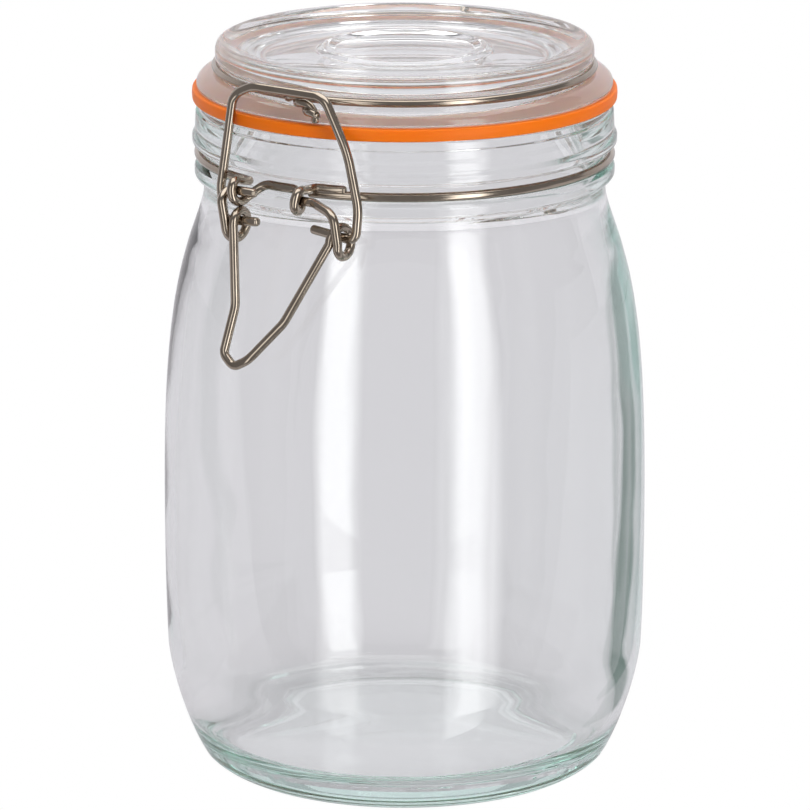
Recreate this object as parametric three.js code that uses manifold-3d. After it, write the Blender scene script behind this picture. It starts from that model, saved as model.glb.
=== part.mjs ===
// A one-litre clip-top preserving jar, empty and shut, in millimetres with +Z up.
// The shapes are drawn round the jar's own axis, with the foot on z = 0, the latch on the -Y side and the
// hinge at +Y. The whole group then stands AXIS_Y further back, so that the origin lies on the floor under
// the middle of jar and latch together.
import * as THREE from 'three';
import { mergeVertices } from 'three/addons/utils/BufferGeometryUtils.js';
import Module from 'manifold-3d';

const wasm = await Module();
wasm.setup();

const AXIS_Y = 2.9;

// Glass barrel
const FOOT_R = 38.2;
const BELLY_R = 55.2;
const BELLY_Z = 62;
const SHOULDER_R = 50.1;
const SHOULDER_Z = 120;
const THROAT_R = 45.6;
const THROAT_Z = 135.4;
const WALL = 4.2;
const FLOOR_Z = 7;
const PUSH_UP = 0.6;
const MOUTH_R = 42.2;
const RIM_Z = 155.8;

// Neck rings, and the groove between them that holds the neck wire
const LOWER_BEAD_R = 47.7;
const UPPER_BEAD_R = 48.2;
const NECK_BAND_R = 47.4;
const GROOVE_R = 45.3;
const GROOVE_LOW_Z = 142.2;
const GROOVE_HIGH_Z = 145.6;

// Rubber seal
const SEAL_R = 48.2;
const SEAL_HOLE_R = 41.4;
const SEAL_LOW_Z = 156.1;
const SEAL_HIGH_Z = 158.9;

// Glass lid
const LID_Z = 159.2;
const FLANGE_R = 47.2;
const DISC_R = 42.9;
const LID_TOP_Z = 169.6;
const LID_GROOVE_R = 41.5;
const PLATE_Z = 167.1;
const PLUG_R = 40.6;
const PLUG_Z = 153.6;

// Wire
const WIRE_R = 1.05;
const LID_WIRE_R = 0.9;
const NECK_RING_R = 46.7;
const NECK_RING_Z = 143.8;
const LID_RING_R = 42.8;
const LID_RING_Z = 163.7;

// The two axes of the latch, both along X: the lever turns in the eyelets, the bail in the lever's coils
const PIVOT = { y: -50.9, z: 142.6 };
const BAIL_PIN = { y: -51.3, z: 135.6 };
const EYELET_X = 9;
const EYELET_R = 2.4;
const COIL_R = 3.2;
const COIL_Z = 135.0;
const COIL_PITCH = 2.2;
const LEFT_COIL_X = -9.5;
const RIGHT_COIL_X = 21.4;
const HINGE_LEG_X = 13.5;

// Fineness of the facets
const SEGMENTS = 40;
const CURVE_STEPS = 4;
const WIRE_SIDES = 8;
const BEND_STEP = THREE.MathUtils.degToRad(28);

const clearGlass = new THREE.MeshStandardMaterial({ color: 0xdfe9e5, roughness: 0.05, metalness: 0 });
const orangeRubber = new THREE.MeshStandardMaterial({ color: 0xf5761c, roughness: 0.5, metalness: 0 });
const steelWire = new THREE.MeshStandardMaterial({ color: 0xb9b2a8, roughness: 0.25, metalness: 1 });

function point(x, y, z, bend = 0) {
  return { at: new THREE.Vector3(x, y, z), bend };
}

// Rounds each corner that has a bend radius into an arc, and keeps every other point as it is.
function roundCorners(corners) {
  const line = [];
  corners.forEach(({ at, bend }, i) => {
    if (!bend) {
      line.push(at.clone());
      return;
    }
    const back = corners[i - 1].at.clone().sub(at).normalize();
    const ahead = corners[i + 1].at.clone().sub(at).normalize();
    const turn = Math.PI - back.angleTo(ahead);
    const reach = bend * Math.tan(turn / 2);
    const centre = back.clone().add(ahead).normalize().multiplyScalar(bend / Math.cos(turn / 2)).add(at);
    const from = at.clone().addScaledVector(back, reach).sub(centre);
    const axis = from.clone().cross(at.clone().addScaledVector(ahead, reach).sub(centre)).normalize();
    const steps = Math.max(2, Math.ceil(turn / BEND_STEP));
    for (let k = 0; k <= steps; k += 1) {
      line.push(from.clone().applyAxisAngle(axis, (turn * k) / steps).add(centre));
    }
  });
  return line;
}

// A centre line that is sampled exactly at its own points, so straight runs stay one facet long.
class CentreLine extends THREE.Curve {
  constructor(points) {
    super();
    this.points = points;
  }

  index(u) {
    return Math.round(u * (this.points.length - 1));
  }

  getPointAt(u, target = new THREE.Vector3()) {
    return target.copy(this.points[this.index(u)]);
  }

  getTangentAt(u, target = new THREE.Vector3()) {
    const i = this.index(u);
    const last = this.points.length - 1;
    const into = this.points[Math.max(i, 1)].clone().sub(this.points[Math.max(i, 1) - 1]).normalize();
    const out = this.points[Math.min(i, last - 1) + 1].clone().sub(this.points[Math.min(i, last - 1)]).normalize();
    return target.copy(into).add(out).normalize();
  }
}

function wireSolid(corners, radius) {
  const line = new CentreLine(roundCorners(corners));
  const section = new THREE.Shape();
  for (let k = 0; k < WIRE_SIDES; k += 1) {
    const angle = ((k + 0.5) / WIRE_SIDES) * 2 * Math.PI;
    section[k ? 'lineTo' : 'moveTo'](radius * Math.cos(angle), radius * Math.sin(angle));
  }
  const steps = line.points.length - 1;
  return solidOf(new THREE.ExtrudeGeometry(section, { extrudePath: line, steps, bevelEnabled: false }));
}

function solidOf(geometry) {
  geometry.deleteAttribute('normal');
  geometry.deleteAttribute('uv');
  const merged = mergeVertices(geometry);
  const vertProperties = new Float32Array(merged.attributes.position.array);
  const triVerts = new Uint32Array(merged.index.array);
  return new wasm.Manifold(new wasm.Mesh({ numProp: 3, vertProperties, triVerts }));
}

function joined(solids) {
  const mesh = solids.reduce((whole, next) => whole.add(next)).getMesh();
  const geometry = new THREE.BufferGeometry();
  geometry.setAttribute('position', new THREE.BufferAttribute(new Float32Array(mesh.vertProperties), 3));
  geometry.setIndex(new THREE.BufferAttribute(new Uint32Array(mesh.triVerts), 1));
  return geometry;
}

function turned(profile) {
  const geometry = new THREE.LatheGeometry(profile.getPoints(CURVE_STEPS), SEGMENTS);
  return geometry.rotateX(Math.PI / 2);
}

function named(name, geometry, material) {
  const mesh = new THREE.Mesh(geometry, material);
  mesh.name = name;
  return mesh;
}

// The barrel, from the push-up under its foot, up the outside, over the rim and down the inside.
function jarProfile() {
  const profile = new THREE.Path();
  const heelR = 46.6;
  const heelZ = 3.6;
  const lowerR = 54.6;
  const lowerZ = 28;
  profile.moveTo(0, PUSH_UP);
  profile.lineTo(FOOT_R - 2, 0);
  profile.lineTo(FOOT_R + 1.5, 0);
  profile.bezierCurveTo(FOOT_R + 4, 0, heelR - 1.5, 1.6, heelR, heelZ);
  profile.bezierCurveTo(heelR + 3.2, 8.6, lowerR - 0.9, 20, lowerR, lowerZ);
  profile.bezierCurveTo(lowerR + 0.5, 38, BELLY_R, 50, BELLY_R, BELLY_Z);
  profile.bezierCurveTo(BELLY_R, 86, 54.2, 106, SHOULDER_R, SHOULDER_Z);
  profile.bezierCurveTo(48.6, 126, THROAT_R + 0.3, 131.5, THROAT_R, THROAT_Z);
  neckOutside(profile);
  profile.lineTo(MOUTH_R + 1.4, RIM_Z);
  profile.lineTo(MOUTH_R, RIM_Z - 1.4);
  profile.lineTo(MOUTH_R - 0.3, THROAT_Z + 2);
  profile.bezierCurveTo(MOUTH_R, 130, 45.2, 126, SHOULDER_R - WALL, SHOULDER_Z);
  profile.bezierCurveTo(50.2, 104, BELLY_R - WALL, 84, BELLY_R - WALL, BELLY_Z);
  profile.bezierCurveTo(BELLY_R - WALL, 46, 50.8, 34, 49.4, 22);
  profile.bezierCurveTo(48.4, 14, 47.2, 8.4, 42, FLOOR_Z + 0.3);
  profile.lineTo(39, FLOOR_Z);
  profile.lineTo(0, FLOOR_Z);
  return profile;
}

// The neck's rings, read upwards: lower bead, wire groove, upper bead, band and the lip under the seal.
function neckOutside(profile) {
  profile.lineTo(THROAT_R + 0.3, THROAT_Z + 2.2);
  profile.lineTo(LOWER_BEAD_R - 0.4, 139);
  profile.lineTo(LOWER_BEAD_R, 139.8);
  profile.lineTo(LOWER_BEAD_R - 0.4, 140.9);
  profile.lineTo(GROOVE_R, GROOVE_LOW_Z);
  profile.lineTo(GROOVE_R, GROOVE_HIGH_Z);
  profile.lineTo(UPPER_BEAD_R - 0.5, GROOVE_HIGH_Z + 0.6);
  profile.lineTo(UPPER_BEAD_R, GROOVE_HIGH_Z + 1.5);
  profile.lineTo(NECK_BAND_R + 0.2, 149.2);
  profile.lineTo(NECK_BAND_R, 153.4);
  profile.lineTo(NECK_BAND_R - 0.7, 153.9);
  profile.lineTo(NECK_BAND_R - 0.6, RIM_Z - 0.8);
  profile.lineTo(NECK_BAND_R - 1.4, RIM_Z);
}

function jarGlass() {
  return named('jar_glass', turned(jarProfile()), clearGlass);
}

// A flat ring whose two outer corners are slightly rounded.
function seal() {
  const ease = 0.35;
  const profile = new THREE.Path();
  profile.moveTo(SEAL_HOLE_R, SEAL_LOW_Z);
  profile.lineTo(SEAL_R - ease, SEAL_LOW_Z);
  profile.lineTo(SEAL_R, SEAL_LOW_Z + ease);
  profile.lineTo(SEAL_R, SEAL_HIGH_Z - ease);
  profile.lineTo(SEAL_R - ease, SEAL_HIGH_Z);
  profile.lineTo(SEAL_HOLE_R, SEAL_HIGH_Z);
  profile.lineTo(SEAL_HOLE_R, SEAL_LOW_Z);
  return named('seal', turned(profile), orangeRubber);
}

// The lid: a plug that drops into the mouth, a domed flange, the wire groove and a dished top disc.
function lidGlass() {
  const profile = new THREE.Path();
  const plugFloorZ = PLUG_Z + 4.4;
  const discLowZ = LID_RING_Z + 1.3;
  profile.moveTo(0, plugFloorZ);
  profile.lineTo(33, plugFloorZ);
  profile.bezierCurveTo(35.5, plugFloorZ, 36.5, PLUG_Z + 1, 37.2, PLUG_Z);
  profile.lineTo(PLUG_R - 0.8, PLUG_Z);
  profile.lineTo(PLUG_R, PLUG_Z + 1.2);
  profile.lineTo(PLUG_R + 0.5, LID_Z);
  profile.lineTo(FLANGE_R, LID_Z);
  profile.bezierCurveTo(FLANGE_R, 160.8, 46.4, 161.9, 44.2, 162.5);
  profile.lineTo(LID_GROOVE_R, 162.6);
  profile.lineTo(LID_GROOVE_R, discLowZ);
  profile.lineTo(DISC_R, discLowZ + 0.5);
  profile.bezierCurveTo(DISC_R + 0.1, LID_TOP_Z - 2, DISC_R, LID_TOP_Z, 40.8, LID_TOP_Z);
  profile.bezierCurveTo(38.2, LID_TOP_Z, 37, PLATE_Z, 31.6, PLATE_Z);
  profile.lineTo(20, PLATE_Z);
  profile.bezierCurveTo(18.8, PLATE_Z, 18.8, PLATE_Z + 1.1, 17.4, PLATE_Z + 1.1);
  profile.lineTo(15.6, PLATE_Z + 0.4);
  profile.lineTo(0, PLATE_Z + 0.4);
  return named('lid_glass', turned(profile), clearGlass);
}

// Points along the neck ring, between two angles from -Y towards +X, in degrees.
function ringArc(fromDeg, toDeg, radius, z) {
  const steps = Math.max(1, Math.ceil(Math.abs(toDeg - fromDeg) / 10));
  return Array.from({ length: steps + 1 }, (_, k) => {
    const angle = THREE.MathUtils.degToRad(fromDeg + ((toDeg - fromDeg) * k) / steps);
    return point(radius * Math.sin(angle), -radius * Math.cos(angle), z);
  });
}

// One eyelet turn: out over the top from the ring, round the pivot and back underneath.
// sideX is +1 or -1 for the right or left one; front is -1 at the latch and +1 at the hinge.
function eyelet(sideX, front) {
  const turns = [68, 90, 120, 150, 180, 210, 240, 270, 295, 312];
  return turns.map((deg) => {
    const angle = THREE.MathUtils.degToRad(deg);
    const inward = (deg - turns[0]) / (turns[turns.length - 1] - turns[0]);
    const x = sideX * (EYELET_X - 1.4 * inward * inward);
    const y = front * (-PIVOT.y - EYELET_R * Math.cos(angle));
    return point(x, y, PIVOT.z + EYELET_R * Math.sin(angle));
  });
}

// The wire round the neck: two eyelets in front for the lever, two behind for the lid wire's hinge bar.
// Its end laps over the ring to the right of the front eyelets, where it is welded down.
function neckWire() {
  const cornerDeg = THREE.MathUtils.radToDeg(Math.asin(EYELET_X / NECK_RING_R));
  const innerDeg = 5.5;
  const lapDeg = 20;
  const ringZ = NECK_RING_Z;
  const corner = (sideX, front, z = ringZ) => {
    const y = Math.sqrt(NECK_RING_R ** 2 - EYELET_X ** 2);
    return point(sideX * EYELET_X, front * y, z, 1.4);
  };
  const corners = [
    ...ringArc(lapDeg, cornerDeg + 2.5, NECK_RING_R, ringZ + 0.8),
    corner(1, -1, ringZ + 0.8),
    ...eyelet(1, -1),
    ...ringArc(innerDeg, -innerDeg, NECK_RING_R, ringZ),
    ...eyelet(-1, -1).reverse(),
    corner(-1, -1),
    ...ringArc(-cornerDeg - 2.5, -180 + cornerDeg + 2.5, NECK_RING_R, ringZ),
    corner(-1, 1),
    ...eyelet(-1, 1),
    ...ringArc(-180 + innerDeg, -180 - innerDeg, NECK_RING_R, ringZ),
    ...eyelet(1, 1).reverse(),
    corner(1, 1),
    ...ringArc(180 - cornerDeg - 2.5, 9, NECK_RING_R, ringZ - 0.4),
  ];
  return named('neck_wire', joined([wireSolid(corners, WIRE_R)]), steelWire);
}

// Two strands twisted round each other, from the ring out over the flange and down in front of it.
function twistedTail() {
  const axis = new THREE.QuadraticBezierCurve3(
    new THREE.Vector3(-1.2, -43.8, 164.4),
    new THREE.Vector3(4.4, -45.2, 164.5),
    new THREE.Vector3(11.2, -48.3, 160.9),
  );
  const turns = 1.8;
  const offset = 0.66;
  const steps = 14;
  return [0, Math.PI].map((start) => {
    const strand = Array.from({ length: steps + 1 }, (_, k) => {
      const s = k / steps;
      const along = axis.getTangent(s);
      const across = along.clone().cross(new THREE.Vector3(0, 0, 1)).normalize();
      const up = across.clone().cross(along);
      const angle = start + 2 * Math.PI * turns * s;
      const at = axis.getPoint(s).addScaledVector(across, offset * Math.cos(angle));
      at.addScaledVector(up, offset * Math.sin(angle));
      return point(at.x, at.y, at.z);
    });
    return wireSolid(strand, LID_WIRE_R);
  });
}

// The lid wire: the ring in the lid's groove, the twisted tail in front, and the hinge bow behind.
function lidWire() {
  const ring = solidOf(new THREE.TorusGeometry(LID_RING_R, LID_WIRE_R, WIRE_SIDES, SEGMENTS));
  const hingeY = -PIVOT.y;
  const reachY = Math.sqrt(LID_RING_R ** 2 - HINGE_LEG_X ** 2);
  const bow = wireSolid([
    point(-HINGE_LEG_X, reachY, LID_RING_Z),
    point(-HINGE_LEG_X, hingeY, LID_RING_Z, 2.6),
    point(-HINGE_LEG_X, hingeY, PIVOT.z, 2),
    point(HINGE_LEG_X, hingeY, PIVOT.z, 2),
    point(HINGE_LEG_X, hingeY, LID_RING_Z, 2.6),
    point(HINGE_LEG_X, reachY, LID_RING_Z),
  ], LID_WIRE_R);
  const solids = [ring.translate([0, 0, LID_RING_Z]), bow, ...twistedTail()];
  return named('lid_wire', joined(solids), steelWire);
}

// The bail: pins turned in through the lever's coils, two legs splayed outwards, and the bar over the lid.
function bail() {
  const { y, z } = BAIL_PIN;
  const corners = [
    point(-2.7, y, z + 0.7),
    point(-12.2, y, z, 1.9),
    point(-14.0, -50.2, 142.6, 6),
    point(-13.3, -48.6, 153.5, 30),
    point(-12.6, -47.3, 163.3, 2.2),
    point(-7.5, -47.2, 165.7, 5),
    point(12.4, -47.2, 165.7, 2.4),
    point(19.6, -48.3, 154.2, 30),
    point(23.9, -50.2, 142.6, 12),
    point(24.0, y, z, 1.9),
    point(12.0, y, z + 1.2),
  ];
  return named('bail', joined([wireSolid(corners, WIRE_R)]), steelWire);
}

// One full coil turn of the lever round a bail pin, from its front point down, under, up and over.
function leverCoil(startX, sideX) {
  const steps = 12;
  return Array.from({ length: steps + 1 }, (_, k) => {
    const angle = Math.PI + (2 * Math.PI * k) / steps;
    const x = startX - sideX * COIL_PITCH * (k / steps);
    return point(x, BAIL_PIN.y + COIL_R * Math.cos(angle), COIL_Z + COIL_R * Math.sin(angle));
  });
}

// The lever: pins in the eyelets, arms down to the two coils, and the V-shaped handle bent off the glass.
function lever() {
  const { y, z } = PIVOT;
  const corners = [
    point(-3.6, y, z),
    point(-11.5, y, z, 1.5),
    point(-11.3, -53.7, 140.8, 2.5),
    ...leverCoil(LEFT_COIL_X, -1),
    point(-5.9, -55.8, 117.6, 9),
    point(-6.4, -59.6, 107.4, 2.4),
    point(-3.3, -60, 104.9, 2.0),
    point(0.6, -59.8, 107, 6),
    point(7.6, -56, 115.6, 9),
    ...leverCoil(RIGHT_COIL_X, 1).reverse(),
    point(19.6, -53.6, 141.3, 4),
    point(12.2, y, z, 3),
    point(6.8, y, z),
  ];
  return named('lever', joined([wireSolid(corners, WIRE_R)]), steelWire);
}

const jar = new THREE.Group();
jar.add(jarGlass(), seal(), lidGlass(), neckWire(), lidWire(), bail(), lever());
jar.position.y = AXIS_Y;

export default jar;
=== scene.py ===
# An empty one-litre clip-top preserving jar of clear glass, shut by a wire latch over an orange rubber ring.
# The file follows the jar as it is put together: barrel, rubber ring, lid, the wires, and last the set.
# Shapes are drawn in millimetres round the jar's own axis and then moved to their place in the frame.
import math

import bpy
from mathutils import Matrix, Vector


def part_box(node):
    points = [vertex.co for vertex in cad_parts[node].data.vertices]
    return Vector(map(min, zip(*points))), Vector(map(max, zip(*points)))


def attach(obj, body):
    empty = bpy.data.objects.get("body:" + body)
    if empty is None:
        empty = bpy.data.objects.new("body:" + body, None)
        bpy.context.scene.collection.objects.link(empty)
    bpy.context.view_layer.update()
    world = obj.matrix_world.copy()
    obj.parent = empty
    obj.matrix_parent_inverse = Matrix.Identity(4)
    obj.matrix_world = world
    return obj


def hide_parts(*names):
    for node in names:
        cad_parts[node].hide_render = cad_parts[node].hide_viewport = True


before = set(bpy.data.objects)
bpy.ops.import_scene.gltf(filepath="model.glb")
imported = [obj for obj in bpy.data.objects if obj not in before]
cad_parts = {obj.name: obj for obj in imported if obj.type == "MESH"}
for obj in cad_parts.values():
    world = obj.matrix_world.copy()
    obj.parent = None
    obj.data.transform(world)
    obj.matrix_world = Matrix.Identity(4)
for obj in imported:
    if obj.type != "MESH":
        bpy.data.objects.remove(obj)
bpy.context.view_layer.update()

# The barrel: clear soda-lime glass, blown in a two-part mould. The outside takes the mould's shape and the
# inside is only blown, so the cavity lies off the middle, its wall ripples, and a fold runs round the floor.
# One outline is turned about the axis by Geometry Nodes, which then move and ripple the cavity.
BELLY_R = 55.2
BELLY_Z = 62
FOOT_R = 38.2
PUSH_UP = 0.6
SHOULDER_R = 50.1
SHOULDER_Z = 120
THROAT_R = 45.6
THROAT_Z = 135.4
WALL = 4.2
SHOULDER_WALL = 2.9
FLOOR_Z = 7.0
FLOOR_R = 42
FOLD_DEPTH = 0.8
FOLD_WANDER = 2.4
MOUTH_R = 42.2
RIM_Z = 155.8
LOWER_BEAD_R = 47.7
UPPER_BEAD_R = 48.2
NECK_BAND_R = 47.4
GROOVE_R = 45.3
GROOVE_LOW_Z = 142.2
GROOVE_HIGH_Z = 145.6
CAVITY_SHIFT = Vector((-1.0, -0.75, 0.0))
CAVITY_RIPPLE = 0.5
MOULD_RIPPLE = 0.08
RIPPLES_PER_MM = 0.03
WANDERS_PER_MM = 0.14
SHIFTED_AT_SHOULDER = 0.3
RIPPLED_AT_SHOULDER = 0.5
RIPPLED_AT_FLOOR = 0.2
FULL_BELOW_SHOULDER = 45
TURN_STEPS = 224
BEND_STEPS = 6
box_low, box_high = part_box("jar_glass")
JAR_AXIS = Vector(((box_low.x + box_high.x) / 2, (box_low.y + box_high.y) / 2, 0.0))


def add_node(tree, kind, inputs=(), **settings):
    """Adds a node with its own settings. inputs pairs a socket, by name or number, with a value or a link."""
    node = tree.nodes.new(kind)
    for name, value in settings.items():
        setattr(node, name, value)
    for socket, value in dict(inputs).items():
        if isinstance(value, bpy.types.NodeSocket):
            tree.links.new(value, node.inputs[socket])
        else:
            node.inputs[socket].default_value = value
    return node


def linear(hex_colour):
    """An sRGB colour such as 'F4FAF7' as the linear values that a shader takes."""
    parts = [int(hex_colour[i:i + 2], 16) / 255 for i in (0, 2, 4)]
    return [v / 12.92 if v <= 0.04045 else ((v + 0.055) / 1.055) ** 2.4 for v in parts] + [1.0]


def new_material(name):
    """An empty material, its tree and its output node."""
    material = bpy.data.materials.new(name)
    material.use_nodes = True
    material.node_tree.nodes.clear()
    return material, material.node_tree, add_node(material.node_tree, "ShaderNodeOutputMaterial")


def soda_lime_glass(name, tint_hex, tint_density):
    """Mirror-smooth clear glass. Its tint is absorption over the length of glass that light crosses."""
    material, shader, output = new_material(name)
    glass = add_node(shader, "ShaderNodeBsdfPrincipled", {
        "Base Color": linear("FFFFFF"),
        "Roughness": 0.0,
        "IOR": 1.52,
        "Transmission Weight": 1.0,
    })
    tint = add_node(shader, "ShaderNodeVolumeAbsorption", {
        "Color": linear(tint_hex),
        "Density": tint_density,
    })
    shader.links.new(glass.outputs["BSDF"], output.inputs["Surface"])
    shader.links.new(tint.outputs["Volume"], output.inputs["Volume"])
    return material


# Clear blown glass, fire-polished: faintly green only where it is centimetres thick, as at the foot and along
# the edges.
clear_glass = soda_lime_glass("clear_soda_lime_glass", "8FDFCE", 5.0)


def new_shape_tree(name, sizes):
    """A Geometry Nodes tree with a named input for each size, and its group input node."""
    tree = bpy.data.node_groups.new(name, "GeometryNodeTree")
    tree.interface.new_socket("Geometry", in_out="INPUT", socket_type="NodeSocketGeometry")
    tree.interface.new_socket("Geometry", in_out="OUTPUT", socket_type="NodeSocketGeometry")
    for size, kind in sizes.items():
        tree.interface.new_socket(size, in_out="INPUT", socket_type="NodeSocket" + kind)
    return tree, add_node(tree, "NodeGroupInput")


def close_tree(tree, geometry, material):
    """Ends a tree: nothing stays an instance, and the result takes its material."""
    real = add_node(tree, "GeometryNodeRealizeInstances", {"Geometry": geometry}).outputs["Geometry"]
    made = add_node(tree, "GeometryNodeSetMaterial", {"Geometry": real, "Material": material})
    add_node(tree, "NodeGroupOutput", {"Geometry": made.outputs["Geometry"]})


# Rounds an outline's marked corners and turns it once round the axis, by sweeping it along a small circle,
# the axle. Then each point moves as far as its cavity, ripple and fold marks say: sideways with the cavity,
# in and out with the ripple, and in its own level where the fold wanders.
turned, size = new_shape_tree("turned_outline", {
    "Turn Steps": "Int",
    "Bend Steps": "Int",
    "Cavity Shift": "Vector",
    "Cavity Ripple": "Float",
    "Skin Ripple": "Float",
    "Fold Wander": "Float",
    "Material": "Material",
})
AXLE_R = 1.0
line = add_node(turned, "GeometryNodeMeshToCurve", {"Mesh": size.outputs["Geometry"]})
bends = add_node(turned, "GeometryNodeInputNamedAttribute", {"Name": "bend"}, data_type="FLOAT")
rounded = add_node(turned, "GeometryNodeFilletCurve", {
    "Curve": line.outputs["Curve"],
    "Count": size.outputs["Bend Steps"],
    "Radius": bends.outputs["Attribute"],
    "Limit Radius": True,
}, mode="POLY")
place = add_node(turned, "GeometryNodeInputPosition")
axes = add_node(turned, "ShaderNodeSeparateXYZ", {0: place.outputs[0]})
from_axle = add_node(turned, "ShaderNodeMath", {0: axes.outputs["X"], 1: AXLE_R}, operation="SUBTRACT")
down = add_node(turned, "ShaderNodeMath", {0: axes.outputs["Z"], 1: -1.0}, operation="MULTIPLY")
flat = add_node(turned, "ShaderNodeCombineXYZ", {"X": from_axle.outputs[0], "Y": down.outputs[0], "Z": 0.0})
section = add_node(turned, "GeometryNodeSetPosition", {
    "Geometry": rounded.outputs["Curve"],
    "Position": flat.outputs[0],
})
axle = add_node(turned, "GeometryNodeCurvePrimitiveCircle", {
    "Resolution": size.outputs["Turn Steps"],
    "Radius": AXLE_R,
}, mode="RADIUS")
swept = add_node(turned, "GeometryNodeCurveToMesh", {
    "Curve": axle.outputs["Curve"],
    "Profile Curve": section.outputs["Geometry"],
})
shut = add_node(turned, "GeometryNodeMergeByDistance", {"Geometry": swept.outputs["Mesh"], "Distance": 0.001})
faced = add_node(turned, "GeometryNodeFlipFaces", {"Mesh": shut.outputs["Geometry"]})
ripple = add_node(turned, "ShaderNodeTexNoise", {
    "Scale": RIPPLES_PER_MM,
    "Detail": 1.0,
}, noise_dimensions="3D")
swell = add_node(turned, "ShaderNodeMath", {0: ripple.outputs["Fac"], 1: 0.5}, operation="SUBTRACT")
ripples = add_node(turned, "GeometryNodeInputNamedAttribute", {"Name": "ripple"}, data_type="FLOAT")
inside = add_node(turned, "ShaderNodeMath", {
    0: ripples.outputs["Attribute"],
    1: size.outputs["Cavity Ripple"],
}, operation="MULTIPLY")
depth = add_node(turned, "ShaderNodeMath", {
    0: inside.outputs[0],
    1: size.outputs["Skin Ripple"],
}, operation="ADD")
bulge = add_node(turned, "ShaderNodeMath", {0: swell.outputs[0], 1: depth.outputs[0]}, operation="MULTIPLY")
outward = add_node(turned, "GeometryNodeInputNormal")
wave = add_node(turned, "ShaderNodeVectorMath", {
    0: outward.outputs[0],
    "Scale": bulge.outputs[0],
}, operation="SCALE")
cavities = add_node(turned, "GeometryNodeInputNamedAttribute", {"Name": "cavity"}, data_type="FLOAT")
shift = add_node(turned, "ShaderNodeVectorMath", {
    0: size.outputs["Cavity Shift"],
    "Scale": cavities.outputs["Attribute"],
}, operation="SCALE")
jitter = add_node(turned, "ShaderNodeTexNoise", {
    "Scale": WANDERS_PER_MM,
    "Detail": 2.0,
}, noise_dimensions="3D")
off_centre = add_node(turned, "ShaderNodeVectorMath", {
    0: jitter.outputs["Color"],
    1: (0.5, 0.5, 0.5),
}, operation="SUBTRACT")
level = add_node(turned, "ShaderNodeVectorMath", {
    0: off_centre.outputs[0],
    1: (1.0, 1.0, 0.0),
}, operation="MULTIPLY")
folds = add_node(turned, "GeometryNodeInputNamedAttribute", {"Name": "fold"}, data_type="FLOAT")
wander = add_node(turned, "ShaderNodeMath", {
    0: folds.outputs["Attribute"],
    1: size.outputs["Fold Wander"],
}, operation="MULTIPLY")
stray = add_node(turned, "ShaderNodeVectorMath", {
    0: level.outputs[0],
    "Scale": wander.outputs[0],
}, operation="SCALE")
pushed = add_node(turned, "ShaderNodeVectorMath", {0: wave.outputs[0], 1: shift.outputs[0]}, operation="ADD")
move = add_node(turned, "ShaderNodeVectorMath", {0: pushed.outputs[0], 1: stray.outputs[0]}, operation="ADD")
moved = add_node(turned, "GeometryNodeSetPosition", {
    "Geometry": faced.outputs["Mesh"],
    "Offset": move.outputs[0],
})
smooth = add_node(turned, "GeometryNodeSetShadeSmooth", {"Geometry": moved.outputs["Geometry"]})
close_tree(turned, smooth.outputs["Geometry"], size.outputs["Material"])


def curve(start, control_a, control_b, end, steps=12):
    """Outline points (r, z) along a cubic curve, without its first one."""
    found = []
    for k in range(1, steps + 1):
        t = k / steps
        weights = ((1 - t) ** 3, 3 * t * (1 - t) ** 2, 3 * t * t * (1 - t), t ** 3)
        corners = (start, control_a, control_b, end)
        found.append(tuple(sum(w * p[i] for w, p in zip(weights, corners)) for i in (0, 1)))
    return found


def outline(points, **marks):
    """Outline points (r, z) or (r, z, bend) as points of a line in the plane of the axis."""
    return [(p[0], 0.0, p[1], {"bend": p[2] if len(p) > 2 else 0.0, **marks}) for p in points]


def shaped(name, runs, tree, sizes):
    """Draws each run of points as a line, lets the tree shape it and keeps the result as a plain mesh.

    A run is (points, closed), and a point is (x, y, z, {attribute: value})."""
    places = []
    edges = []
    marks = {}
    for points, closed in runs:
        first = len(places)
        places += [point[:3] for point in points]
        for k, point in enumerate(points):
            for mark, value in point[3].items():
                marks.setdefault(mark, {})[first + k] = value
        last = len(places) - 1
        edges += [(k, k + 1) for k in range(first, last)] + ([(last, first)] if closed else [])
    drawing = bpy.data.meshes.new(name + "_line")
    drawing.from_pydata(places, edges, [])
    for mark, values in marks.items():
        data = drawing.attributes.new(mark, "FLOAT", "POINT").data
        data.foreach_set("value", [values.get(k, 0.0) for k in range(len(places))])
    helper = bpy.data.objects.new(name + "_line", drawing)
    bpy.context.scene.collection.objects.link(helper)
    modifier = helper.modifiers.new("Shape", "NODES")
    modifier.node_group = tree
    for item in tree.interface.items_tree:
        if item.name in sizes:
            modifier[item.identifier] = sizes[item.name]
    bpy.context.view_layer.update()
    graph = bpy.context.evaluated_depsgraph_get()
    mesh = bpy.data.meshes.new_from_object(helper.evaluated_get(graph), depsgraph=graph)
    bpy.data.objects.remove(helper)
    mesh.transform(Matrix.Translation(JAR_AXIS) @ Matrix.Scale(0.001, 4))
    mesh.name = name
    piece = bpy.data.objects.new(name, mesh)
    bpy.context.scene.collection.objects.link(piece)
    return piece


def turned_piece(name, line, closed, material, skin_ripple, shift=(0.0, 0.0, 0.0), ripple=0.0, wander=0.0):
    """A piece that is turned from one outline, with its own ripple and, for the barrel, a moved cavity."""
    return shaped(name, [(line, closed)], turned, {
        "Turn Steps": TURN_STEPS,
        "Bend Steps": BEND_STEPS,
        "Cavity Shift": Vector(shift),
        "Cavity Ripple": ripple,
        "Skin Ripple": skin_ripple,
        "Fold Wander": wander,
        "Material": material,
    })


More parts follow.
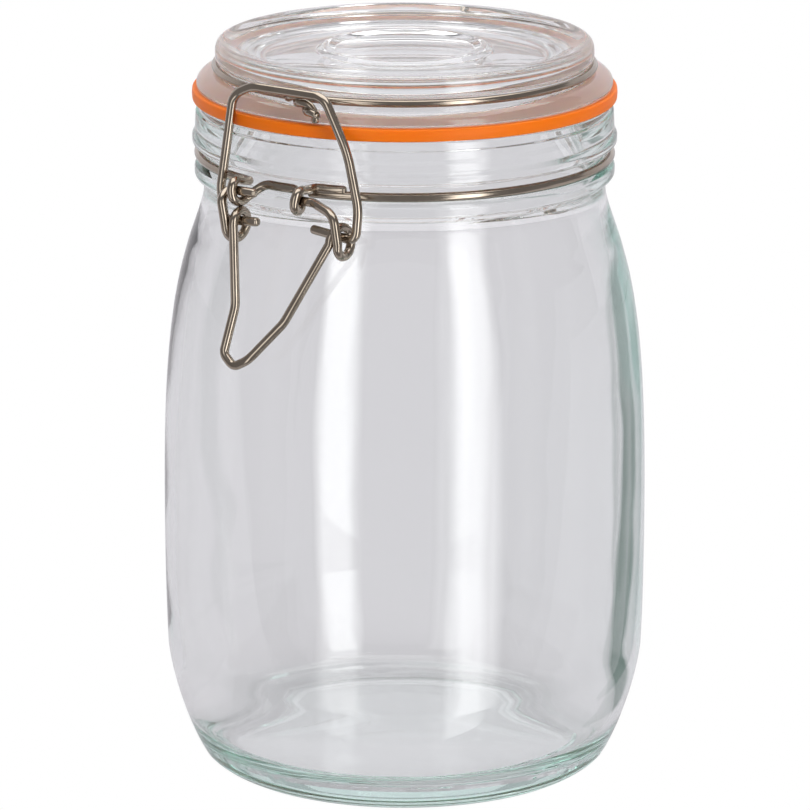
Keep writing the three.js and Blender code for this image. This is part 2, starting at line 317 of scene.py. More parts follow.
heel = (46.6, 3.6)
lower = (54.6, 28)
belly = (BELLY_R, BELLY_Z)
shoulder = (SHOULDER_R, SHOULDER_Z)
throat = (THROAT_R, THROAT_Z)
skin = [(0, PUSH_UP)]
skin += [(FOOT_R - 2, 0, 1.5), (FOOT_R + 1.5, 0, 1.2)]
skin += curve((FOOT_R + 2.4, 0.2), (FOOT_R + 4, 0.4), (heel[0] - 1.5, 1.9), heel, 6)
skin += curve(heel, (heel[0] + 3.2, 8.6), (lower[0] - 0.9, 20), lower)
skin += curve(lower, (lower[0] + 0.5, 38), (BELLY_R, 50), belly)
skin += curve(belly, (BELLY_R, 86), (54.2, 106), shoulder, 18)
skin += curve(shoulder, (48.6, 126), (THROAT_R + 0.3, 131.5), throat, 10)
neck = [
    (THROAT_R + 0.3, THROAT_Z + 2.2, 0.8),
    (LOWER_BEAD_R, 138.9, 1.2),
    (LOWER_BEAD_R, 141.1, 0.9),
    (GROOVE_R, GROOVE_LOW_Z, 0.8),
    (GROOVE_R, GROOVE_HIGH_Z, 0.6),
    (UPPER_BEAD_R, GROOVE_HIGH_Z + 0.7, 0.7),
    (UPPER_BEAD_R, GROOVE_HIGH_Z + 2.4, 0.8),
    (NECK_BAND_R + 0.2, 149.2, 0.8),
    (NECK_BAND_R, 153.6, 0.3),
    (NECK_BAND_R - 0.7, 153.9, 0.3),
    (NECK_BAND_R - 0.7, RIM_Z, 0.7),
    (MOUTH_R, RIM_Z, 1.3),
    (MOUTH_R - 0.3, THROAT_Z + 2, 6.0),
]
neck_inside_end = (45.4, 127)
shoulder_inside = (SHOULDER_R - SHOULDER_WALL, SHOULDER_Z)
shoulder_wall = [neck_inside_end]
shoulder_wall += curve(neck_inside_end, (46.0, 124.5), (46.6, 122.5), shoulder_inside, 3)
wall = curve(shoulder_inside, (50.6, 104), (BELLY_R - WALL, 84), (BELLY_R - WALL, BELLY_Z), 18)
wall += curve((BELLY_R - WALL, BELLY_Z), (BELLY_R - WALL, 46), (50.8, 34), (49.4, 22), 14)
wall += curve((49.4, 22), (48.4, 14), (47.2, 8.4), (FLOOR_R + 0.5, FLOOR_Z + 0.3), 16)
fold = [(FLOOR_R, FLOOR_Z + 0.1), (FLOOR_R - 0.35, FLOOR_Z - FOLD_DEPTH), (FLOOR_R - 0.8, FLOOR_Z + 0.05)]
floor = [(FLOOR_R - 2.5, FLOOR_Z), (30, FLOOR_Z), (15, FLOOR_Z), (0, FLOOR_Z)]
barrel_line = outline(skin + neck, cavity=0.0, ripple=0.0, fold=0.0)
barrel_line += outline(shoulder_wall, cavity=SHIFTED_AT_SHOULDER, ripple=RIPPLED_AT_SHOULDER, fold=0.0)
for r, z in wall:
    down_wall = min(1.0, (SHOULDER_Z - z) / FULL_BELOW_SHOULDER)
    shifted = SHIFTED_AT_SHOULDER + (1 - SHIFTED_AT_SHOULDER) * down_wall
    rippled = RIPPLED_AT_SHOULDER + (1 - RIPPLED_AT_SHOULDER) * down_wall
    barrel_line += outline([(r, z)], cavity=shifted, ripple=rippled, fold=0.0)
barrel_line += outline(fold, cavity=1.0, ripple=RIPPLED_AT_FLOOR, fold=1.0)
barrel_line += outline(floor, cavity=1.0, ripple=RIPPLED_AT_FLOOR, fold=0.0)

barrel = turned_piece("jar_barrel", barrel_line, False, clear_glass, MOULD_RIPPLE,
                      shift=CAVITY_SHIFT, ripple=CAVITY_RIPPLE, wander=FOLD_WANDER)
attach(barrel, "jar")
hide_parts("jar_glass")

# The rubber ring: orange natural rubber, moulded flat with softly rounded edges. It lies loose on the rim,
# round the lid's plug, and the latch pinches it between rim and flange. Its pressed faces lie a hair inside
# the glass, so that no gap shows.
SEAL_R = 48.2
SEAL_HOLE_R = 41.4
SEAL_LOW_Z = 156.1
SEAL_HIGH_Z = 158.9
SEAL_SIDE_BOW = 0.12
PRESSED_R = 46.6
PRESSED_IN = 0.03
LID_Z = 159.2

# Smooth moulded rubber: a soft satin sheen, a little light let in under its skin, patches of colour 25 mm
# across, and a matt grain of 0.4 mm that is drawn coarser than life. Its two faces are pressed to the glass,
# and there its colour is painted a pale pink: painted light, for the pale look they have through the glass.
GRAIN_PER_METRE = 2500
PATCHES_PER_METRE = 40.0
FIRST_COLOUR = 6
SECOND_COLOUR = 7
MIXED_COLOUR = 2
orange_rubber, shader, output = new_material("moulded_orange_rubber")
spot = add_node(shader, "ShaderNodeTexCoord").outputs["Object"]
grain = add_node(shader, "ShaderNodeTexNoise", {"Vector": spot, "Scale": GRAIN_PER_METRE, "Detail": 2.0})
patches = add_node(shader, "ShaderNodeTexNoise", {"Vector": spot, "Scale": PATCHES_PER_METRE, "Detail": 3.0})
colours = add_node(shader, "ShaderNodeMix", {
    "Factor": patches.outputs["Fac"],
    FIRST_COLOUR: linear("FF7400"),
    SECOND_COLOUR: linear("FF8208"),
}, data_type="RGBA")
# Where the rubber is pressed to the glass its orange gives way to a pale pink: painted light, not a change in
# the rubber.
pressed_face_painted_pale = add_node(shader, "ShaderNodeMix", {
    "Factor": add_node(shader, "ShaderNodeAttribute", attribute_name="pressed").outputs["Fac"],
    FIRST_COLOUR: colours.outputs[MIXED_COLOUR],
    SECOND_COLOUR: linear("FFD6C4"),
}, data_type="RGBA")
dull = add_node(shader, "ShaderNodeMapRange", {
    "Value": grain.outputs["Fac"],
    "To Min": 0.38,
    "To Max": 0.55,
})
relief = add_node(shader, "ShaderNodeBump", {
    "Height": grain.outputs["Fac"],
    "Strength": 0.08,
    "Distance": 0.0003,
})
rubber = add_node(shader, "ShaderNodeBsdfPrincipled", {
    "Base Color": pressed_face_painted_pale.outputs[MIXED_COLOUR],
    "Roughness": dull.outputs[0],
    "Normal": relief.outputs["Normal"],
    "IOR": 1.45,
    "Specular IOR Level": 0.3,
    "Subsurface Weight": 0.2,
    "Subsurface Radius": (0.002, 0.0008, 0.0002),
    "Subsurface Scale": 1.0,
})
shader.links.new(rubber.outputs["BSDF"], output.inputs["Surface"])

ring_line = outline([
    (SEAL_HOLE_R, RIM_Z - PRESSED_IN, 0.3),
    (PRESSED_R - 0.5, RIM_Z - PRESSED_IN, 0.3),
], pressed=1.0)
ring_line += outline([
    (PRESSED_R + 0.4, SEAL_LOW_Z, 0.3),
    (SEAL_R - SEAL_SIDE_BOW, SEAL_LOW_Z, 0.45),
    (SEAL_R, (SEAL_LOW_Z + SEAL_HIGH_Z) / 2, 3.0),
    (SEAL_R - SEAL_SIDE_BOW, SEAL_HIGH_Z, 0.45),
    (PRESSED_R + 0.6, SEAL_HIGH_Z, 0.3),
], pressed=0.0)
ring_line += outline([
    (PRESSED_R, LID_Z + PRESSED_IN, 0.3),
    (SEAL_HOLE_R, LID_Z + PRESSED_IN, 0.3),
], pressed=1.0)
rubber_ring = turned_piece("rubber_ring", ring_line, True, orange_rubber, 0.06)
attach(rubber_ring, "jar")
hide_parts("seal")

# The lid: pressed glass, so sharper than the barrel. A ring plug drops into the mouth, the domed flange bears
# on the rubber, a groove under the top disc takes the lid wire, and the disc is dished round a raised middle.
FLANGE_R = 47.2
DISC_R = 42.9
LID_TOP_Z = 169.6
LID_GROOVE_R = 41.5
PLATE_Z = 167.1
PLUG_R = 40.6
PLUG_Z = 153.6
PLUG_DEPTH = 4.4
LID_RING_Z = 163.7
LID_GROOVE_TOP_Z = LID_RING_Z + 1.3

# Clear pressed glass: whiter than the barrel's, with hardly any tint even along the disc.
pressed_glass = soda_lime_glass("clear_pressed_glass", "E2F2EE", 3.0)

lid_points = [(0, PLUG_Z + PLUG_DEPTH), (33, PLUG_Z + PLUG_DEPTH, 2.0)]
lid_points += [(36.6, PLUG_Z, 1.2), (PLUG_R, PLUG_Z, 1.3)]
lid_points += [(PLUG_R + 0.5, LID_Z, 0.4), (FLANGE_R, LID_Z, 0.5)]
lid_points += curve((FLANGE_R, LID_Z + 0.6), (FLANGE_R, 160.8), (46.4, 161.9), (44.2, 162.5), 8)
lid_points += [(LID_GROOVE_R, 162.7, 0.6), (LID_GROOVE_R, LID_GROOVE_TOP_Z, 0.6)]
lid_points += [(DISC_R, LID_GROOVE_TOP_Z + 0.3, 0.5)]
lid_points += curve((DISC_R, LID_GROOVE_TOP_Z + 1.2), (DISC_R + 0.1, LID_TOP_Z - 1.4),
                    (DISC_R - 0.2, LID_TOP_Z), (40.8, LID_TOP_Z), 10)
lid_points += curve((40.8, LID_TOP_Z), (38.2, LID_TOP_Z), (37, PLATE_Z), (31.6, PLATE_Z), 12)
lid_points += [(20, PLATE_Z, 1.0), (18.6, PLATE_Z + 1.1, 0.9), (17.2, PLATE_Z + 1.1, 0.9)]
lid_points += [(15.6, PLATE_Z + 0.4, 1.0), (0, PLATE_Z + 0.4)]
lid = turned_piece("jar_lid", outline(lid_points), False, pressed_glass, 0.05)
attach(lid, "jar")
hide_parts("lid_glass")

# The neck wire: one length of 2.1 mm stainless wire bent round the neck's groove, with two eyelets in front
# for the lever and two behind for the lid's hinge, its end lapped over the ring and welded down.
WIRE_R = 1.05
NECK_RING_R = 46.7
NECK_RING_Z = 143.8
PIVOT_Y = -50.9
PIVOT_Z = 142.6
EYELET_X = 9
EYELET_R = 2.4
EYELET_LEAN = 1.4
EYELET_BEND = 2.5
CORNER_BEND = 1.4
CORNER_DEG = math.degrees(math.asin(EYELET_X / NECK_RING_R)) + 2.5
INNER_DEG = 5.5
INNER_BEND = 3.0
LAP_FROM_DEG = 9
LAP_TO_DEG = 20
LAP_RISE = 0.8
LAP_FALL = 0.4

# Drawn stainless steel wire: bright, with fine lines along it from the die and soft smears of 5 to 6 mm over
# them. The lines are drawn coarser than life, a quarter of a millimetre apart, so that they show.
LINES_ROUND = 26
DIE_LINES_PER_MM = 0.12
SMEARS_PER_METRE = 180.0
steel_wire, shader, output = new_material("drawn_stainless_wire")
along = add_node(shader, "ShaderNodeAttribute", attribute_name="along").outputs["Fac"]
around = add_node(shader, "ShaderNodeAttribute", attribute_name="around").outputs["Fac"]
wrap = add_node(shader, "ShaderNodeCombineXYZ", {"X": along, "Y": around, "Z": 0.0})
lengthwise = add_node(shader, "ShaderNodeMapping", {
    "Vector": wrap.outputs[0],
    "Scale": (DIE_LINES_PER_MM, LINES_ROUND, 1.0),
})
lines = add_node(shader, "ShaderNodeTexNoise", {"Vector": lengthwise.outputs[0], "Scale": 1.0, "Detail": 3.0})
smears = add_node(shader, "ShaderNodeTexNoise", {
    "Vector": add_node(shader, "ShaderNodeTexCoord").outputs["Object"],
    "Scale": SMEARS_PER_METRE,
    "Detail": 3.0,
})
tones = add_node(shader, "ShaderNodeMix", {
    "Factor": smears.outputs["Fac"],
    FIRST_COLOUR: linear("968A7C"),
    SECOND_COLOUR: linear("B8AC9E"),
}, data_type="RGBA")
polish = add_node(shader, "ShaderNodeMapRange", {
    "Value": lines.outputs["Fac"],
    "To Min": 0.09,
    "To Max": 0.2,
})
scored = add_node(shader, "ShaderNodeBump", {
    "Height": lines.outputs["Fac"],
    "Strength": 0.12,
    "Distance": 0.0001,
})
steel = add_node(shader, "ShaderNodeBsdfPrincipled", {
    "Base Color": tones.outputs[MIXED_COLOUR],
    "Metallic": 1.0,
    "Roughness": polish.outputs[0],
    "Normal": scored.outputs["Normal"],
})
shader.links.new(steel.outputs["BSDF"], output.inputs["Surface"])

# Rounds each marked corner of a line and runs a round wire along it, narrower where the taper mark says.
bent, size = new_shape_tree("bent_wire", {
    "Wire Radius": "Float",
    "Bend Steps": "Int",
    "Wire Sides": "Int",
    "Material": "Material",
})
line = add_node(bent, "GeometryNodeMeshToCurve", {"Mesh": size.outputs["Geometry"]})
bends = add_node(bent, "GeometryNodeInputNamedAttribute", {"Name": "bend"}, data_type="FLOAT")
rounded = add_node(bent, "GeometryNodeFilletCurve", {
    "Curve": line.outputs["Curve"],
    "Count": size.outputs["Bend Steps"],
    "Radius": bends.outputs["Attribute"],
    "Limit Radius": True,
}, mode="POLY")
measured = add_node(bent, "GeometryNodeStoreNamedAttribute", {
    "Geometry": rounded.outputs["Curve"],
    "Name": "along",
    "Value": add_node(bent, "GeometryNodeSplineParameter").outputs["Length"],
}, data_type="FLOAT", domain="POINT")
circle = add_node(bent, "GeometryNodeCurvePrimitiveCircle", {
    "Resolution": size.outputs["Wire Sides"],
    "Radius": size.outputs["Wire Radius"],
}, mode="RADIUS")
marked = add_node(bent, "GeometryNodeStoreNamedAttribute", {
    "Geometry": circle.outputs["Curve"],
    "Name": "around",
    "Value": add_node(bent, "GeometryNodeSplineParameter").outputs["Factor"],
}, data_type="FLOAT", domain="POINT")
tapers = add_node(bent, "GeometryNodeInputNamedAttribute", {"Name": "taper"}, data_type="FLOAT")
full = add_node(bent, "ShaderNodeMath", {0: 1.0, 1: tapers.outputs["Attribute"]}, operation="SUBTRACT")
drawn = add_node(bent, "GeometryNodeCurveToMesh", {
    "Curve": measured.outputs["Geometry"],
    "Profile Curve": marked.outputs["Geometry"],
    "Scale": full.outputs[0],
    "Fill Caps": True,
})
smooth = add_node(bent, "GeometryNodeSetShadeSmooth", {"Geometry": drawn.outputs["Mesh"]})
close_tree(bent, smooth.outputs["Geometry"], size.outputs["Material"])

# How far in from a cut end, in millimetres, the wire is narrower, and by what share.
CUT_ROUNDING = ((0.0, 0.5), (0.12, 0.22), (0.35, 0.06), (0.7, 0.0))


def rounded_end(end, inner):
    """The points that stand for the end of a wire, from its cut face inwards."""
    way = (Vector(inner[:3]) - Vector(end[:3])).normalized()
    found = []
    for inset, taper in CUT_ROUNDING:
        found.append((*(Vector(end[:3]) + way * inset), {"bend": 0.0, "taper": taper}))
    return found


def cut_ends(points):
    """The run of a wire with its two cut ends rounded off, as the cutter and the tumbling drum leave them."""
    return rounded_end(points[0], points[1]) + points[1:-1] + rounded_end(points[-1], points[-2])[::-1]


def point(x, y, z, bend=0.0):
    """A point of a wire's line, with the radius of the bend there."""
    return x, y, z, {"bend": bend, "taper": 0.0}


def wire(name, runs, radius, body):
    """A piece of bent wire that rides on a body and stands for the node of the same name."""
    piece = shaped(name + "_steel", runs, bent, {
        "Wire Radius": radius,
        "Bend Steps": 10,
        "Wire Sides": 28,
        "Material": steel_wire,
    })
    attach(piece, body)
    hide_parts(name)


def ring_arc(from_deg, to_deg, radius, z, step_deg=3):
    """Points on a ring between two angles from -Y towards +X."""
    steps = max(1, math.ceil(abs(to_deg - from_deg) / step_deg))
    angles = [math.radians(from_deg + (to_deg - from_deg) * k / steps) for k in range(steps + 1)]
    return [point(radius * math.sin(a), -radius * math.cos(a), z) for a in angles]


def eyelet(side_x, front, from_deg=68, to_deg=312, steps=28):
    """One turn out over the top from the ring, round the pivot and back underneath."""
    found = []
    for k in range(steps + 1):
        inward = k / steps
        angle = math.radians(from_deg + (to_deg - from_deg) * inward)
        x = side_x * (EYELET_X - EYELET_LEAN * inward * inward)
        y = front * (-PIVOT_Y - EYELET_R * math.cos(angle))
        found.append(point(x, y, PIVOT_Z + EYELET_R * math.sin(angle)))
    found[-1][3]["bend"] = EYELET_BEND
    return found


def ring_corner(side_x, front, z=NECK_RING_Z):
    """Where the ring turns out into an eyelet."""
    return point(side_x * EYELET_X, front * math.sqrt(NECK_RING_R ** 2 - EYELET_X ** 2), z, CORNER_BEND)


def inner_arc(middle_deg):
    """The stretch of the ring between two eyelets, with a soft bend where it leaves each."""
    found = ring_arc(middle_deg + INNER_DEG, middle_deg - INNER_DEG, NECK_RING_R, NECK_RING_Z)
    found[0][3]["bend"] = INNER_BEND
    found[-1][3]["bend"] = INNER_BEND
    return found


neck_run = [
    *ring_arc(LAP_TO_DEG, CORNER_DEG, NECK_RING_R, NECK_RING_Z + LAP_RISE),
    ring_corner(1, -1, NECK_RING_Z + LAP_RISE),
    *eyelet(1, -1),
    *inner_arc(0),
    *reversed(eyelet(-1, -1)),
    ring_corner(-1, -1),
    *ring_arc(-CORNER_DEG, CORNER_DEG - 180, NECK_RING_R, NECK_RING_Z),
    ring_corner(-1, 1),
    *eyelet(-1, 1),
    *inner_arc(-180),
    *reversed(eyelet(1, 1)),
    ring_corner(1, 1),
    *ring_arc(180 - CORNER_DEG, LAP_FROM_DEG, NECK_RING_R, NECK_RING_Z - LAP_FALL),
]
wire("neck_wire", [(cut_ends(neck_run), False)], WIRE_R, "jar")

# The lid wire: thinner 1.8 mm wire round the lid's groove. In front its two ends are twisted together in a
# short tail under the bail, and behind it drops in a bow whose bar turns in the neck wire's rear eyelets.
LID_WIRE_R = 0.9
LID_RING_R = 42.8
HINGE_LEG_X = 13.5
TAIL_TURNS = 1.8
STRAND_OFFSET = 0.66
TAIL_START = Vector((-1.2, -43.8, 164.4))
TAIL_BEND = Vector((4.4, -45.2, 164.5))
TAIL_END = Vector((11.2, -48.3, 160.9))


def strand(start_angle, lead_deg, steps=60):
    """One of the two twisted strands, from inside the ring to the end of the tail."""
    found = ring_arc(lead_deg, lead_deg + 3, LID_RING_R, LID_RING_Z)
    for k in range(steps + 1):
        s = k / steps
        at = TAIL_START * (1 - s) ** 2 + TAIL_BEND * (2 * s * (1 - s)) + TAIL_END * s * s
        ahead = ((TAIL_BEND - TAIL_START) * (1 - s) + (TAIL_END - TAIL_BEND) * s).normalized()
        across = ahead.cross(Vector((0, 0, 1))).normalized()
        up = across.cross(ahead)
        angle = start_angle + 2 * math.pi * TAIL_TURNS * s
        found.append(point(*(at + (across * math.cos(angle) + up * math.sin(angle)) * STRAND_OFFSET)))
    return found


reach_y = math.sqrt(LID_RING_R ** 2 - HINGE_LEG_X ** 2)
hinge_bow = [
    point(-HINGE_LEG_X, reach_y, LID_RING_Z),
    point(-HINGE_LEG_X, -PIVOT_Y, LID_RING_Z, 2.6),
    point(-HINGE_LEG_X, -PIVOT_Y, PIVOT_Z, 2.0),
    point(HINGE_LEG_X, -PIVOT_Y, PIVOT_Z, 2.0),
    point(HINGE_LEG_X, -PIVOT_Y, LID_RING_Z, 2.6),
    point(HINGE_LEG_X, reach_y, LID_RING_Z),
]
lid_runs = [
    (ring_arc(0, 357, LID_RING_R, LID_RING_Z), True),
    (hinge_bow, False),
    (cut_ends(strand(0.0, -10)), False),
    (cut_ends(strand(math.pi, -8)), False),
]
wire("lid_wire", lid_runs, LID_WIRE_R, "jar")

# The bail: a loop of the same 2.1 mm wire as round the neck. Its two pins turn in the lever's coils, and its
# bar is pressed down on the lid wire's twisted tail.
BAIL_Y = -51.3
BAIL_Z = 135.6
bail_run = [
    point(-2.7, BAIL_Y, BAIL_Z + 0.7),
    point(-12.2, BAIL_Y, BAIL_Z, 1.9),
    point(-14.0, -50.2, 142.6, 6),
    point(-13.3, -48.6, 153.5, 30),
    point(-12.6, -47.3, 163.3, 4.0),
    point(-7.5, -47.2, 165.7, 9),
    point(12.4, -47.2, 165.7, 4.5),
    point(19.6, -48.3, 154.2, 30),
    point(23.9, -50.2, 142.6, 12),
    point(24.0, BAIL_Y, BAIL_Z, 1.9),
    point(12.0, BAIL_Y, BAIL_Z + 1.2),
]
wire("bail", [(cut_ends(bail_run), False)], WIRE_R, "bail")

# The lever: one 2.1 mm wire whose pins turn in the neck wire's eyelets. Each arm winds once round a bail pin,
# and the two meet in the V-shaped handle, kinked away from the glass so that a thumb gets behind it.
COIL_R = 3.2
COIL_Z = 135.0
COIL_PITCH = 2.2


def coil(start_x, side_x, steps=48):
    """One full turn round a bail pin, from its front point down, under, up and over."""
    found = []
    for k in range(steps + 1):
        angle = math.pi + 2 * math.pi * k / steps
        x = start_x - side_x * COIL_PITCH * (k / steps)
        found.append(point(x, BAIL_Y + COIL_R * math.cos(angle), COIL_Z + COIL_R * math.sin(angle)))
    return found


lever_run = [
    point(-3.6, PIVOT_Y, PIVOT_Z),
    point(-11.5, PIVOT_Y, PIVOT_Z, 1.5),
    point(-11.3, -53.7, 140.8, 2.5),
    *coil(-9.5, -1),
    point(-5.9, -55.8, 117.6, 9),
    point(-6.4, -59.6, 107.4, 2.4),
    point(-3.3, -60, 104.9, 2.0),
    point(0.6, -59.8, 107, 6),
    point(7.6, -56, 115.6, 9),
    *reversed(coil(21.4, 1)),
    point(19.6, -53.6, 141.3, 4),
    point(12.2, PIVOT_Y, PIVOT_Z, 3),
    point(6.8, PIVOT_Y, PIVOT_Z),
]
wire("lever", [(cut_ends(lever_run), False)], WIRE_R, "lever")

# The set: a long lens looks down on the jar, 36 degrees to the right of its latch. The jar stands on a pale
# table, and two tall softboxes either side of the lens give the barrel its two white stripes.
AZIMUTH = math.radians(36)
ELEVATION = math.radians(14.8)
AIM = JAR_AXIS + Vector((0, 0, 0.085))
DISTANCE = 1.5
FOCAL_PX = 6540
FRAME_PX = 810
SENSOR_MM = 36
AIM_PX = (404.7, 400)
FARTHEST_SEEN = 20


def around_jar(azimuth, elevation, distance):
    """A place as seen from the jar: azimuth 0 is in front at -Y, and it grows towards +X."""
    flat_way = Vector((math.sin(azimuth), -math.cos(azimuth), 0)) * math.cos(elevation)
    return AIM + (flat_way + Vector((0, 0, math.sin(elevation)))) * distance


camera = bpy.data.objects.new("camera", bpy.data.cameras.new("camera"))
bpy.context.scene.collection.objects.link(camera)
camera.location = around_jar(AZIMUTH, ELEVATION, DISTANCE)
camera.rotation_euler = (AIM - camera.location).to_track_quat("-Z", "Y").to_euler()
camera.data.sensor_width = SENSOR_MM
camera.data.lens = FOCAL_PX * SENSOR_MM / FRAME_PX
camera.data.shift_x = (FRAME_PX / 2 - AIM_PX[0]) / FRAME_PX
camera.data.shift_y = (AIM_PX[1] - FRAME_PX / 2) / FRAME_PX
camera.data.clip_end = FARTHEST_SEEN
bpy.context.scene.camera = camera


def on_table(right, back, height=0.0):
    """A place on the table, from the jar: to the camera's right, away from the camera, and up."""
    sideways = Vector((math.cos(AZIMUTH), math.sin(AZIMUTH), 0)) * right
    away = Vector((-math.sin(AZIMUTH), math.cos(AZIMUTH), 0)) * back
    return JAR_AXIS + sideways + away + Vector((0, 0, height))


def stage_mesh(name, places, faces, material):
    """A mesh of the set, which is no part of the jar. It lights the glass and mirrors in it, but the camera
    looks past it, because the photograph was cut out."""
    mesh = bpy.data.meshes.new(name)
    mesh.from_pydata(places, [], faces)
    mesh.materials.append(material)
    thing = bpy.data.objects.new(name, mesh)
    bpy.context.scene.collection.objects.link(thing)
    thing.visible_camera = False
    return thing


# Papers round the jar, lit softly from behind: the table; a disc under the jar that glows brighter than the
# table, a painted pool of the light that the jar's floor lets through; a wall behind, one far in front, and a
# dark fan beyond the jar's right side that fades outwards, which the thick glass there gathers into one dark
# edge.
TABLE_FRONT = -0.085
TABLE_FAR = 4.0
TABLE_DROP = -0.0005
TABLE_GLOW = 0.375
SHEET_DROP = -0.0002
# The painted pool of light under the jar: its radius and its number of sides.
LIGHT_POOL_R = 0.038
LIGHT_POOL_SIDES = 96
WALL_BACK = 1.7
WALL_HEIGHT = 1.6
FRONT_WALL_BACK = -2.6
FRONT_WALL_FOOT = -1.5
FAN_TIP = (0.075, -0.02)
FAN_RINGS = ((0.01, 1.0), (0.25, 1.0), (0.45, 0.7), (0.65, 0.0))
FAN_BLADES = ((15, 0.3), (18, 1.0), (34, 1.0), (39, 0.0))


def upright(back, foot, head):
    """The corners of an upright sheet, as wide as the table."""
    corners = ((-TABLE_FAR, foot), (TABLE_FAR, foot), (TABLE_FAR, head), (-TABLE_FAR, head))
    return [on_table(right, back, height) for right, height in corners]


# Table, painted pool of light and fan lie a little below the foot, clear of its glass.
one_face = [(0, 1, 2, 3)]
table_corners = (
    (-TABLE_FAR, TABLE_FRONT),
    (TABLE_FAR, TABLE_FRONT),
    (TABLE_FAR, TABLE_FAR),
    (-TABLE_FAR, TABLE_FAR),
)
table_places = [on_table(right, back, TABLE_DROP) for right, back in table_corners]
wall_places = upright(WALL_BACK, 0.0, WALL_HEIGHT)
front_places = upright(FRONT_WALL_BACK, FRONT_WALL_FOOT, WALL_HEIGHT)
round_light_pool = [2 * math.pi * k / LIGHT_POOL_SIDES for k in range(LIGHT_POOL_SIDES)]
light_pool_places = [on_table(LIGHT_POOL_R * math.cos(a), LIGHT_POOL_R * math.sin(a), SHEET_DROP) for a in round_light_pool]
fan_places = []
fan_shades = []
for length, ring_shade in FAN_RINGS:
    for turn_deg, blade_shade in FAN_BLADES:
        turn = math.radians(turn_deg)
        right = FAN_TIP[0] + length * math.sin(turn)
        fan_places.append(on_table(right, FAN_TIP[1] + length * math.cos(turn), SHEET_DROP))
        fan_shades.append(ring_shade * blade_shade)
# The faces between four rows of four points, for the fan and for each softbox.
four_by_four = [(k, k + 1, k + 5, k + 4) for k in range(11) if k % 4 < 3]
# The paper in front shows only through glass, so nothing mirrors it.
for tone, lit, places, faces, shades, mirrored in (
    ("table_paper", TABLE_GLOW, table_places, one_face, [0.0] * 4, True),
    ("dark_fan", TABLE_GLOW, fan_places, four_by_four, fan_shades, True),
    ("front_paper", 0.45, front_places, one_face, [0.0] * 4, False),
    ("wall_paper", 0.6, wall_places, one_face, [0.0] * 4, True),
    # A disc under the jar that glows brighter than the table: a painted pool of light.
    ("painted_light_pool", 0.56, light_pool_places, [tuple(range(LIGHT_POOL_SIDES))], [0.0] * LIGHT_POOL_SIDES, True),
):
    paper, shader, output = new_material(tone)
    shade = add_node(shader, "ShaderNodeAttribute", attribute_name="shade").outputs["Fac"]
    dyed = add_node(shader, "ShaderNodeMix", {
        "Factor": shade,
        FIRST_COLOUR: linear("9C9A9D"),
        SECOND_COLOUR: linear("707F7A"),
    }, data_type="RGBA")
    matt = add_node(shader, "ShaderNodeBsdfDiffuse", {"Color": dyed.outputs[MIXED_COLOUR]})
    glow = add_node(shader, "ShaderNodeMapRange", {"Value": shade, "To Min": lit, "To Max": 0.0})
    behind = add_node(shader, "ShaderNodeEmission", {"Color": linear("F8F6FA"), "Strength": glow.outputs[0]})
    both = add_node(shader, "ShaderNodeAddShader", {0: matt.outputs["BSDF"], 1: behind.outputs["Emission"]})
    shader.links.new(both.outputs["Shader"], output.inputs["Surface"])
    sheet = stage_mesh(tone, places, faces, paper)
    sheet.data.attributes.new("shade", "FLOAT", "POINT").data.foreach_set("value", shades)
    sheet.visible_diffuse = mirrored
    sheet.visible_glossy = mirrored

# Softboxes: white light that fades over the outer part of the cloth. The left one is the dimmer.
SOFTBOX_DISTANCE = 1.3
SOFTBOX_FOOT = -1.3
SOFTBOX_HEAD = 1.25
SOFTBOX_EDGE_POWER = 0.3
SOFTBOX_FULL_POWER = 3.8
CLOTH_ACROSS = (0.0, 0.22, 0.78, 1.0)
CLOTH_UP = (0.0, 0.1, 0.9, 1.0)
softbox_cloth, shader, output = new_material("softbox_cloth")
power = add_node(shader, "ShaderNodeMapRange", {
    "Value": add_node(shader, "ShaderNodeAttribute", attribute_name="fade").outputs["Fac"],
    "To Min": SOFTBOX_EDGE_POWER,
    "To Max": SOFTBOX_FULL_POWER,
})
glow = add_node(shader, "ShaderNodeEmission", {"Color": linear("FFFFFF"), "Strength": power.outputs[0]})
shader.links.new(glow.outputs["Emission"], output.inputs["Surface"])
for side, low_deg, high_deg, middle in (("left", -43, -19, 0.45), ("right", 23, 47, 1.0)):
    left_edge = around_jar(AZIMUTH + math.radians(low_deg), 0, SOFTBOX_DISTANCE)
    right_edge = around_jar(AZIMUTH + math.radians(high_deg), 0, SOFTBOX_DISTANCE)
    places = []
    fades = []
    for up in CLOTH_UP:
        for across in CLOTH_ACROSS:
            place = left_edge.lerp(right_edge, across)
            place.z = SOFTBOX_FOOT + (SOFTBOX_HEAD - SOFTBOX_FOOT) * up
            places.append(place)
            at_edge = up in (0.0, 1.0) or across in (0.0, 1.0)
            fades.append(0.0 if at_edge else middle)
    softbox = stage_mesh("softbox_" + side, places, four_by_four, softbox_cloth)
    softbox.data.attributes.new("fade", "FLOAT", "POINT").data.foreach_set("value", fades)

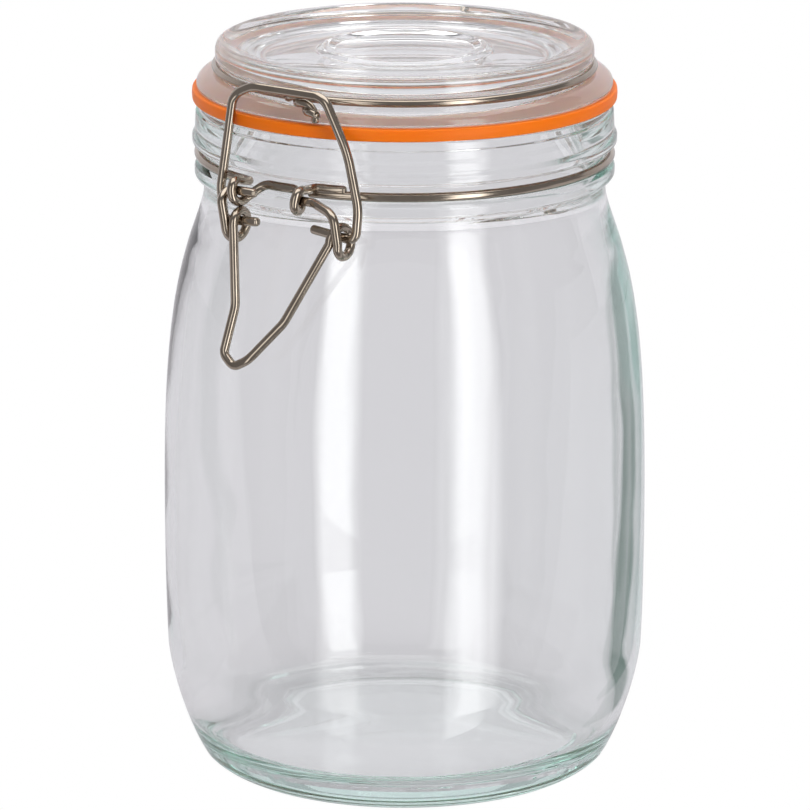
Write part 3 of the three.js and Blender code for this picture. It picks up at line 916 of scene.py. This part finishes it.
# The plain white that the photograph was cut out on: a box round everything, which only the camera sees.
BACKDROP_HALF = 4.5
cut_out_white, shader, output = new_material("cut_out_white")
plain = add_node(shader, "ShaderNodeEmission", {"Color": linear("FFFFFF"), "Strength": 1.0})
shader.links.new(plain.outputs["Emission"], output.inputs["Surface"])
signs = [(x, y, z) for x in (-1, 1) for y in (-1, 1) for z in (-1, 1)]
corners = [Vector(sign) * BACKDROP_HALF for sign in signs]
walls = [(0, 1, 3, 2), (4, 6, 7, 5), (0, 4, 5, 1), (2, 3, 7, 6), (0, 2, 6, 4), (1, 5, 7, 3)]
backdrop = stage_mesh("cut_out_white", corners, walls, cut_out_white)
backdrop.visible_camera = True
for kind in ("diffuse", "glossy", "transmission", "volume_scatter", "shadow"):
    setattr(backdrop, "visible_" + kind, False)

# A bank of light overhead, and a dimmer room round everything.
OVERHEAD_HALF = 0.8
OVERHEAD_NEAR = -0.5
OVERHEAD_FAR = 1.1
OVERHEAD_Z = 1.4
OVERHEAD_POWER = 2.4
ROOM_POWER = 0.3
overhead_cloth, shader, output = new_material("overhead_cloth")
glow = add_node(shader, "ShaderNodeEmission", {"Color": linear("FFFFFF"), "Strength": OVERHEAD_POWER})
shader.links.new(glow.outputs["Emission"], output.inputs["Surface"])
overhead_corners = (
    (-OVERHEAD_HALF, OVERHEAD_NEAR),
    (OVERHEAD_HALF, OVERHEAD_NEAR),
    (OVERHEAD_HALF, OVERHEAD_FAR),
    (-OVERHEAD_HALF, OVERHEAD_FAR),
)
overhead_places = [on_table(right, back, OVERHEAD_Z) for right, back in overhead_corners]
stage_mesh("overhead_light", overhead_places, one_face, overhead_cloth)

world = bpy.data.worlds.new("studio")
bpy.context.scene.world = world
world.use_nodes = True
sky = world.node_tree
sky.nodes.clear()
room = add_node(sky, "ShaderNodeBackground", {"Color": linear("F4F2F6"), "Strength": ROOM_POWER})
add_node(sky, "ShaderNodeOutputWorld", {"Surface": room.outputs[0]})

# Light crosses many faces of glass on its way through lid, rim and barrel, so it is followed for long.
bpy.context.scene.view_settings.view_transform = "Standard"
cycles = bpy.context.scene.cycles
cycles.max_bounces = 56
cycles.transmission_bounces = 32
cycles.glossy_bounces = 40
